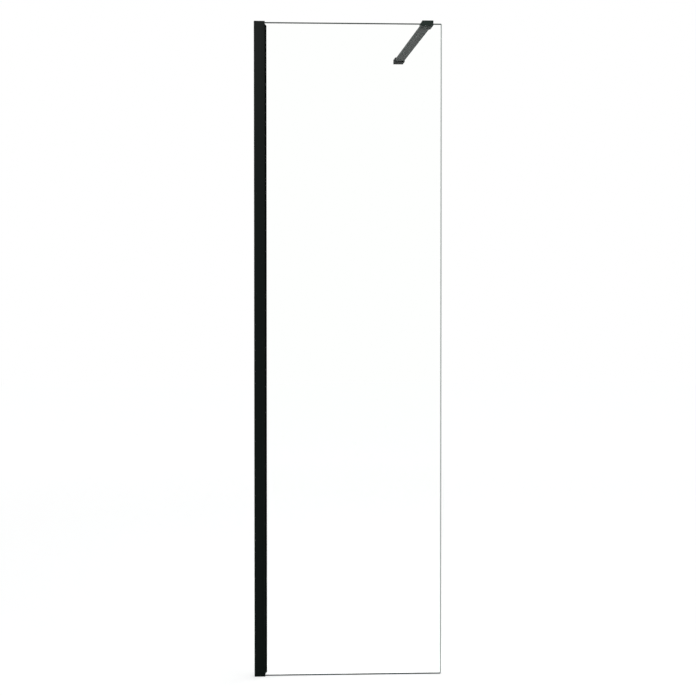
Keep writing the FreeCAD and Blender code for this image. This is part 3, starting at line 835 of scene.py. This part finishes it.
@dataclass
class WallProfile:
    """The upright extrusion with its gaskets, packers and cap, and the channel behind it.

    Attributes:
        wall: front and rear walls, and the nose, mm.
        web: back of the glass pocket, mm.
        pocket_depth: nose face to the pocket's back, mm.
        pocket_half: half the pocket's width, mm.
        mouth_half: half the mouth's width, mm.
        rib_half: half the width over the pocket's sides, mm.
        nose_round: rounding of the outer nose edges, mm.
        edge_round: rounding of the other outer edges, mm.
        inner_round: rounding of the inner edges, mm.
        lip_tip: thickness of the lip where it ends on the glass, mm.
        lip_shoulder: how far the lip stands over the nose beside the mouth, mm.
        lip_round: rounding of the lip's tip, mm.
        crown_back: how far the lip's crown lies behind its tip, mm.
        crown_drop: how far the crown lies below the shoulder, mm.
        crown_round: rounding of the crown, mm.
        root_round: rounding at the gasket's shoulder and root, mm.
        hook_round: rounding of the hook behind the nose, mm.
        gasket_edge: rounding of the gasket's tight edges, mm.
        glass_gap: gasket to the glass, mm.
        mitre: height of the slanted cut at the gasket's ends, mm.
        packers: number of blocks behind the glass edge.
        packer_length: length of a block, mm.
        packer_edge: rounding and chamfer of a block, mm.
        packer_play: what a block leaves free between glass and pocket, mm.
    """

    wall: float = 1.8
    web: float = 1.6
    pocket_depth: float = 14.0
    pocket_half: float = 7.0
    mouth_half: float = 6.2
    rib_half: float = 8.4
    nose_round: float = 0.8
    edge_round: float = 0.3
    inner_round: float = 0.15
    lip_tip: float = 0.6
    lip_shoulder: float = 1.0
    lip_round: float = 0.3
    crown_back: float = 1.2
    crown_drop: float = 0.6
    crown_round: float = 1.6
    root_round: float = 0.4
    hook_round: float = 0.2
    gasket_edge: float = 0.1
    glass_gap: float = 0.01
    mitre: float = 6.0
    packers: int = 4
    packer_length: float = 60.0
    packer_edge: float = 0.4
    packer_play: float = 0.1

    def build(self) -> None:
        """Builds and dresses the upright's pieces."""
        self.extrusion()
        for side, node in ((-1, "front_gasket"), (1, "rear_gasket")):
            self.gasket(node, side)
        self.packer_blocks()
        dress(PLASTIC, "top_cap")
        dress(ANODISED, "wall_channel")

    def extrusion(self) -> None:
        """Builds the visible section, with softly rounded edges under its coat."""
        low, high = (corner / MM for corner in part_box("glazing_profile"))
        face, half, nose = high.x, high.y, high.x - self.wall
        pocket = face - self.pocket_depth
        web = pocket - self.web
        inner = half - self.wall
        soft, inside = self.edge_round, self.inner_round
        side = [
            (pocket, self.pocket_half, inside),
            (nose, self.pocket_half, inside),
            (nose, self.mouth_half, inside),
            (face, self.mouth_half, soft),
            (face, half, self.nose_round),
            (low.x, half, soft),
            (low.x, inner, soft),
            (nose, inner, inside),
            (nose, self.rib_half, inside),
            (web, self.rib_half, inside),
        ]
        section = rounded(side + [(x, -y, r) for x, y, r in reversed(side)])
        loops = [[Vector((p.x, p.y, z)) * MM for p in section] for z in (low.z, high.z)]
        mesh = loft("profile_extrusion", loops)
        place("profile_extrusion", mesh, Body.SCREEN, "glazing_profile", POWDER_COAT_UPRIGHT)

    def gasket(self, node: str, side: int) -> None:
        """Builds one gasket with a crowned lip, its ends cut at a slant.

        Args:
            node: solid that it stands for.
            side: -1 in front of the glass, 1 behind it.
        """
        low, high = (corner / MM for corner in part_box(node))
        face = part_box("glazing_profile")[1].x / MM
        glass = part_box("glass_panel")[1].y / MM + self.glass_gap
        nose = face - self.wall
        top = self.mouth_half + self.lip_shoulder
        tight = self.gasket_edge
        corners = [
            (low.x, glass, tight),
            (high.x, glass, tight),
            (high.x, glass + self.lip_tip, self.lip_round),
            (high.x - self.crown_back, top - self.crown_drop, self.crown_round),
            (face, top, self.root_round),
            (face, self.mouth_half, tight),
            (nose, self.mouth_half, tight),
            (nose, self.pocket_half, self.hook_round),
            (low.x, self.pocket_half, self.root_round),
        ]
        section = [(p.x, side * p.y) for p in rounded(corners)]
        slope = self.mitre / (high.x - face)
        loops = []
        for end, way in ((low.z, slope), (high.z, -slope)):
            loops.append([Vector((x, y, end + way * max(x - face, 0.0))) * MM for x, y in section])
        place(f"{node}_strip", loft(node, loops), Body.SCREEN, node, RUBBER)

    def packer_blocks(self) -> None:
        """Builds the blocks between the glass edge and the pocket's back."""
        low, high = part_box("edge_packers")
        thickness = (high.x - low.x) / MM - self.packer_play
        size = Vector((thickness, (high.y - low.y) / MM, self.packer_length))
        reach = size.z / 2 * MM
        row = Row.upright("edge_packers", self.packers, (low.y + high.y) / 2, reach)
        packer = block("packer", size, self.packer_edge)
        row.lay("packer_blocks", packer, Body.SCREEN, "edge_packers", NATURAL_NYLON)


@dataclass
class LockFixings:
    """Screws and nuts that lock the profile to its channel, and the covers snapped over the heads.

    Attributes:
        count: number of screws.
        head: radius of the pan head, mm.
        rim: straight part of the head, mm.
        flat: radius of the flat on the head, mm.
        shank: radius of the shank, mm.
        socket: hexagon socket in the head.
        point: chamfer at the screw's tip, mm.
        edge: bevel at the foot of a head or a cover, mm.
        shoulder: how far in and up the head's curve turns over, mm.
        flat_bevel: how far out and down the bevel round the flat starts, and how far in it ends, mm.
        nut_play: nut to shank, mm.
        nut_lead: bevel into a nut's hole, mm.
        nut_corner: how far a nut's corners are cut back at its faces, mm.
        nut_edge: height of that cut, mm.
        cover_wall: wall of a cover, mm.
        cover_rim: straight part of a cover, mm.
        cover_steps: rings in a cover's dome.
        cover_fullness: power that shapes the dome, a half for a full one.
        cover_flat: share of a cover's radius that is flat on top.
    """

    count: int = 4
    head: float = 4.0
    rim: float = 1.2
    flat: float = 2.8
    shank: float = 2.0
    socket: Socket = Socket(corner=1.45, depth=1.3, lead=(0.2, 0.12))
    point: float = 0.5
    edge: float = 0.15
    shoulder: tuple[float, float] = (0.35, 0.5)
    flat_bevel: tuple[float, float, float] = (0.25, 0.12, 0.1)
    nut_play: float = 0.02
    nut_lead: float = 0.3
    nut_corner: float = 0.4
    nut_edge: float = 0.25
    cover_wall: float = 0.85
    cover_rim: float = 1.5
    cover_steps: int = 8
    cover_fullness: float = 0.5
    cover_flat: float = 0.2

    def build(self) -> None:
        """Builds and dresses the screws, nuts and covers."""
        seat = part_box("screw_caps")[0].y
        self.screws(seat)
        self.nuts()
        self.covers(seat)

    def screws(self, seat: float) -> None:
        """Builds the pan-head screws.

        Args:
            seat: plane under their heads, metres.
        """
        low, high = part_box("lock_screws")
        tip = (low.y - seat) / MM
        top = (high.y - seat) / MM
        over_in, over_up = self.shoulder
        bevel_out, bevel_down, bevel_in = self.flat_bevel
        rings = [
            Ring(self.shank - self.point, tip),
            Ring(self.shank, tip + self.point),
            Ring(self.shank, 0.0),
            Ring(self.head - self.edge, 0.0),
            Ring(self.head, self.edge),
            Ring(self.head, self.rim),
            Ring(self.head - over_in, self.rim + over_up),
            Ring(self.flat + bevel_out, top - bevel_down),
            Ring(self.flat - bevel_in, top),
            *self.socket.rings(top),
        ]
        reach = self.head * MM
        row = Row.upright("lock_screws", self.count, seat, reach, axis=BACK, spin=math.tau, seed=3)
        screw = turned("lock_screw", BACK, rings)
        row.lay("lock_screw_set", screw, Body.SCREEN, "lock_screws", STAINLESS)

    def nuts(self) -> None:
        """Builds the square nuts."""
        low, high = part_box("lock_nuts")
        half = (high.x - low.x) / MM / 2
        corner = half * math.sqrt(2)
        height = (high.y - low.y) / MM
        bore = self.shank + self.nut_play
        rings = [
            Ring(bore + self.nut_lead, 0.0),
            Ring(corner - self.nut_corner, 0.0, Shape.SQUARE),
            Ring(corner, self.nut_edge, Shape.SQUARE),
            Ring(corner, height - self.nut_edge, Shape.SQUARE),
            Ring(corner - self.nut_corner, height, Shape.SQUARE),
            Ring(bore + self.nut_lead, height),
            Ring(bore, height - self.nut_lead),
            Ring(bore, self.nut_lead),
        ]
        nut = turned("lock_nut", BACK, rings, twist=math.pi / 4, closed=True)
        row = Row.upright("lock_nuts", self.count, low.y, half * MM)
        row.lay("lock_nut_set", nut, Body.SCREEN, "lock_nuts", STAINLESS)

    def covers(self, seat: float) -> None:
        """Builds the domed covers over the screw heads.

        Args:
            seat: plane that they stand on, metres.
        """
        low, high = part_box("screw_caps")
        radius = (high.x - low.x) / MM / 2
        top = (high.y - seat) / MM
        hollow = radius - self.cover_wall
        rings = [
            Ring(hollow, top - self.cover_wall),
            Ring(hollow, 0.0),
            Ring(radius - self.edge, 0.0),
            Ring(radius, self.edge),
        ]
        for step in range(self.cover_steps):
            angle = step / self.cover_steps * math.pi / 2
            rise = (top - self.cover_rim) * math.sin(angle)
            rings.append(Ring(radius * math.cos(angle) ** self.cover_fullness, self.cover_rim + rise))
        rings.append(Ring(self.cover_flat * radius, top))
        row = Row.upright("screw_caps", self.count, seat, radius * MM)
        cover = turned("screw_cover", BACK, rings)
        row.lay("screw_cover_set", cover, Body.SCREEN, "screw_caps", PLASTIC)


@dataclass
class SupportArm:
    """The arm: clamp on the glass, flat bar between two knuckles, and the bracket on the wall.

    Attributes:
        pin: radius of a pivot pin, mm.
        pin_head: radius of its sunk head, mm.
        pin_head_height: height of that head, mm.
        pin_socket: hexagon socket in that head.
        pin_point: chamfer at a pin's lower end, mm.
        washer_bore: radius of a washer's hole, mm.
        washer_thickness: thickness of a washer, mm.
        washer_edge: bevel of its edges, mm.
        grub: radius of a clamp screw, mm.
        grub_socket: its hexagon socket.
        bar_screw: radius of a bar screw, mm.
        bar_socket: its hexagon socket.
        cup: radius of a screw's cupped end at the cup's floor and rim, as shares of the screw's.
        cup_depth: depth of the cup, mm.
        cup_length: length of the tapered end, mm.
        chamfer: chamfer at the head of a pin or a screw, mm.
    """

    pin: float = 2.5
    pin_head: float = 4.0
    pin_head_height: float = 1.6
    pin_socket: Socket = Socket(corner=1.45, depth=1.2, lead=(0.15, 0.12))
    pin_point: float = 0.4
    washer_bore: float = 2.55
    washer_thickness: float = 0.6
    washer_edge: float = 0.12
    grub: float = 2.0
    grub_socket: Socket = Socket(corner=1.15, depth=2.0, lead=(0.12, 0.1))
    bar_screw: float = 2.5
    bar_socket: Socket = Socket(corner=1.45, depth=1.4, lead=(0.12, 0.1))
    cup: tuple[float, float] = (0.45, 0.6)
    cup_depth: float = 0.25
    cup_length: float = 0.5
    chamfer: float = 0.3

    def build(self) -> None:
        """Builds and dresses the arm's pieces."""
        dress(POWDER_COAT_MILLED, "clamp_body", "glass_end_knuckle")
        # The knuckle and bracket at the wall get the milled coat's copy with painted shade
        dress(POWDER_COAT_WALL_END_PAINTED_SHADE, "wall_end_knuckle", "wall_bracket")
        dress(POWDER_COAT_BAR, "support_bar")
        dress(RUBBER, "clamp_front_pad", "clamp_rear_pad")
        dress(BLACK_OXIDE, "clamp_plate")
        self.pivot_pin("clamp_pivot_pin", Body.CLAMP, seed=5)
        self.pivot_pin("wall_pivot_pin", Body.BRACKET, seed=6)
        self.washers("glass_end_washers")
        self.washers("wall_end_washers")
        self.clamp_screws()
        self.bar_screws()

    def grub_rings(self, radius: float, length: float, socket: Socket) -> list[Ring]:
        """Rings of a grub screw, its socket at the far end.

        Args:
            radius: radius of the screw, mm.
            length: its length, mm.
            socket: its hexagon socket.

        Returns:
            The rings, from the cupped end to the socket's floor.
        """
        floor, rim = self.cup
        return [
            Ring(radius * floor, self.cup_depth),
            Ring(radius * rim, 0.0),
            Ring(radius, self.cup_length),
            Ring(radius, length - self.chamfer),
            Ring(radius - self.chamfer, length),
            *socket.rings(length),
        ]

    def pivot_pin(self, node: str, body: Body, seed: int) -> None:
        """Builds one pivot pin with its sunk head.

        Args:
            node: solid that it stands for.
            body: body that it moves with.
            seed: seed of its turn.
        """
        low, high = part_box(node)
        length = (high.z - low.z) / MM
        seat = length - self.pin_head_height
        rings = [
            Ring(self.pin - self.pin_point, 0.0),
            Ring(self.pin, self.pin_point),
            Ring(self.pin, seat),
            Ring(self.pin_head, seat),
            Ring(self.pin_head, length - self.chamfer),
            Ring(self.pin_head - self.chamfer, length),
            *self.pin_socket.rings(length),
        ]
        foot = Vector(((low.x + high.x) / 2, (low.y + high.y) / 2, low.z))
        row = Row(foot, foot, axis=UP, spin=math.tau, seed=seed)
        row.lay(f"{node}_turned", turned(node, UP, rings), body, node, BLACK_OXIDE)

    def washers(self, node: str) -> None:
        """Builds the two washers of a knuckle.

        Args:
            node: solid that they stand for.
        """
        low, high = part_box(node)
        radius = (high.x - low.x) / MM / 2
        thickness, edge = self.washer_thickness, self.washer_edge
        rings = [
            Ring(self.washer_bore, edge),
            Ring(self.washer_bore + edge, 0.0),
            Ring(radius - edge, 0.0),
            Ring(radius, edge),
            Ring(radius, thickness - edge),
            Ring(radius - edge, thickness),
            Ring(self.washer_bore + edge, thickness),
            Ring(self.washer_bore, thickness - edge),
        ]
        middle = (low + high) / 2
        first = Vector((middle.x, middle.y, low.z))
        last = Vector((middle.x, middle.y, high.z - thickness * MM))
        washer = turned(node, UP, rings, closed=True)
        Row(first, last, 2).lay(f"{node}_pair", washer, Body.ARM, node, PLASTIC)

    def clamp_screws(self) -> None:
        """Builds the two grub screws that press the clamp's plate."""
        low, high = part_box("clamp_screws")
        length = (high.y - low.y) / MM
        rings = self.grub_rings(self.grub, length, self.grub_socket)
        z = (low.z + high.z) / 2
        inset = self.grub * MM
        first = Vector((low.x + inset, low.y, z))
        last = Vector((high.x - inset, low.y, z))
        row = Row(first, last, 2, axis=BACK, spin=math.tau, seed=8)
        screw = turned("clamp_screw", BACK, rings)
        row.lay("clamp_screw_pair", screw, Body.CLAMP, "clamp_screws", BLACK_OXIDE)

    def bar_screws(self) -> None:
        """Builds the grub screws under the knuckles, sockets downwards."""
        low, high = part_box("bar_screws")
        length = (high.z - low.z) / MM
        rings = self.grub_rings(self.bar_screw, length, self.bar_socket)
        x = (low.x + high.x) / 2
        inset = self.bar_screw * MM
        first = Vector((x, low.y + inset, high.z))
        last = Vector((x, high.y - inset, high.z))
        row = Row(first, last, 2, axis=DOWN, spin=math.tau, seed=9)
        screw = turned("bar_screw", DOWN, rings)
        row.lay("bar_screw_pair", screw, Body.ARM, "bar_screws", BLACK_OXIDE)


@dataclass(frozen=True)
class Lamp:
    """A soft square lamp.

    Attributes:
        name: name of the lamp.
        place: where it hangs, metres.
        aim: point that it faces, metres.
        size: length of its side, metres.
        power: watts.
    """

    name: str
    place: tuple[float, float, float]
    aim: tuple[float, float, float]
    size: float
    power: float

    def hang(self) -> None:
        """Puts the lamp into the scene."""
        light = bpy.data.lights.new(self.name, "AREA")
        light.size = self.size
        light.energy = self.power
        lamp = bpy.data.objects.new(self.name, light)
        lamp.location = self.place
        way = Vector(self.aim) - lamp.location
        lamp.rotation_euler = way.to_track_quat("-Z", "Y").to_euler()
        bpy.context.scene.collection.objects.link(lamp)


@dataclass
class Studio:
    """White room: pale floor, soft lamps, and the camera at the photograph's place.

    Attributes:
        eye: place of the camera, metres.
        target: point at the middle of its picture, metres.
        lens: focal length, mm.
        sensor: width of the camera's sensor, mm.
        daylight: strength of the room's own light on the object.
        floor_colour: sRGB hex of the floor.
        floor_fill: what the floor adds where it is seen, so that its open part shows white.
        floor_fill_near: what it adds under the screen, where the lamps help and the shadow has to stay.
        floor_fade: how far the change between the two reaches, metres.
        floor_half: half the floor's side, metres.
        floor_drop: floor below the screen's foot, metres.
        lamps: the lamps.
    """

    eye: tuple[float, float, float] = (-0.1044, -6.0, 1.1655)
    target: tuple[float, float, float] = (0.2861, -0.0157, 1.0062)
    lens: float = 101.57
    sensor: float = 36.0
    daylight: float = 0.66
    floor_colour: str = "#D4D5D5"
    floor_fill: float = 0.56
    floor_fill_near: float = 0.44
    floor_fade: float = 8.0
    floor_half: float = 20.0
    floor_drop: float = 0.0002
    lamps: tuple[Lamp, ...] = (
        Lamp("front_lamp", (0.15, -5.6, 3.3), (0.2, 0.0, 1.8), 0.6, 115.0),
        Lamp("left_lamp", (-2.8, -2.6, 3.2), (0.2, 0.0, 1.2), 2.0, 14.0),
        Lamp("back_lamp", (2.6, 3.0, 4.4), (0.4, 0.4, 1.4), 1.6, 20.0),
    )

    @staticmethod
    def seen(tree: bpy.types.NodeTree) -> bpy.types.NodeSocket:
        """Adds the test for rays that show the room: to the camera, in gloss and through glass.

        Args:
            tree: a material's or the world's tree.

        Returns:
            Socket that is 1 for such rays and 0 for light on surfaces.
        """
        rays = add(tree, "ShaderNodeLightPath")
        both = {0: rays.outputs["Is Camera Ray"], 1: rays.outputs["Is Glossy Ray"]}
        either = add(tree, "ShaderNodeMath", both, operation="MAXIMUM")
        third = {0: either.outputs[0], 1: rays.outputs["Is Transmission Ray"]}
        return add(tree, "ShaderNodeMath", third, operation="MAXIMUM").outputs[0]

    def build(self) -> None:
        """Builds the room, its light and the camera."""
        self.room()
        self.floor()
        for lamp in self.lamps:
            lamp.hang()
        self.camera()
        bpy.context.scene.view_settings.view_transform = "Standard"

    def room(self) -> None:
        """Makes the world: white where it is seen, softer as light."""
        world = bpy.data.worlds.new("white_room")
        world.use_nodes = True
        tree = world.node_tree
        tree.nodes.clear()
        colour = linear("#FFFFFF")
        light = add(tree, "ShaderNodeBackground", {"Color": colour, "Strength": self.daylight})
        white = add(tree, "ShaderNodeBackground", {"Color": colour, "Strength": 1.0})
        parts = {0: self.seen(tree), 1: light.outputs[0], 2: white.outputs[0]}
        mixed = add(tree, "ShaderNodeMixShader", parts)
        add(tree, "ShaderNodeOutputWorld", {"Surface": mixed.outputs[0]})
        bpy.context.scene.world = world

    def floor(self) -> None:
        """Makes the floor, which keeps the screen's shadow."""
        half, z = self.floor_half, -self.floor_drop
        mesh = bpy.data.meshes.new("studio_floor")
        corners = [(-half, -half, z), (half, -half, z), (half, half, z), (-half, half, z)]
        mesh.from_pydata(corners, [], [(0, 1, 2, 3)])
        paint = bpy.data.materials.new("studio_floor_matt_white_paint")
        paint.use_nodes = True
        tree = paint.node_tree
        tree.nodes.clear()
        matt = add(tree, "ShaderNodeBsdfDiffuse", {"Color": linear(self.floor_colour)})
        place = add(tree, "ShaderNodeTexCoord")
        fade = {"Vector": place.outputs["Object"], "Scale": [1 / self.floor_fade] * 3}
        spot = add(tree, "ShaderNodeMapping", fade).outputs["Vector"]
        near = add(tree, "ShaderNodeTexGradient", {"Vector": spot}, gradient_type="SPHERICAL")
        ends = {"Value": near.outputs["Fac"], "To Min": self.floor_fill, "To Max": self.floor_fill_near}
        fill = add(tree, "ShaderNodeMapRange", ends).outputs["Result"]
        level = add(tree, "ShaderNodeMath", {0: self.seen(tree), 1: fill}, operation="MULTIPLY")
        glow = add(tree, "ShaderNodeEmission", {"Strength": level.outputs[0]})
        both = add(tree, "ShaderNodeAddShader", {0: matt.outputs[0], 1: glow.outputs[0]})
        add(tree, "ShaderNodeOutputMaterial", {"Surface": both.outputs[0]})
        mesh.materials.append(paint)
        floor = bpy.data.objects.new("studio_floor", mesh)
        bpy.context.scene.collection.objects.link(floor)

    def camera(self) -> None:
        """Sets up the camera."""
        data = bpy.data.cameras.new("camera")
        data.sensor_width = self.sensor
        data.lens = self.lens
        camera = bpy.data.objects.new("camera", data)
        camera.location = self.eye
        way = Vector(self.target) - camera.location
        camera.rotation_euler = way.to_track_quat("-Z", "Y").to_euler()
        bpy.context.scene.collection.objects.link(camera)
        bpy.context.scene.camera = camera


def main() -> None:
    """Builds and dresses the screen, one sub-assembly after another."""
    logging.basicConfig(level=logging.INFO, format="%(name)s: %(message)s")
    for part in (WallProfile(), GlassPane(), LockFixings(), SupportArm(), Studio()):
        LOG.info("building %s", type(part).__name__)
        part.build()


if __name__ == "__main__":
    main()
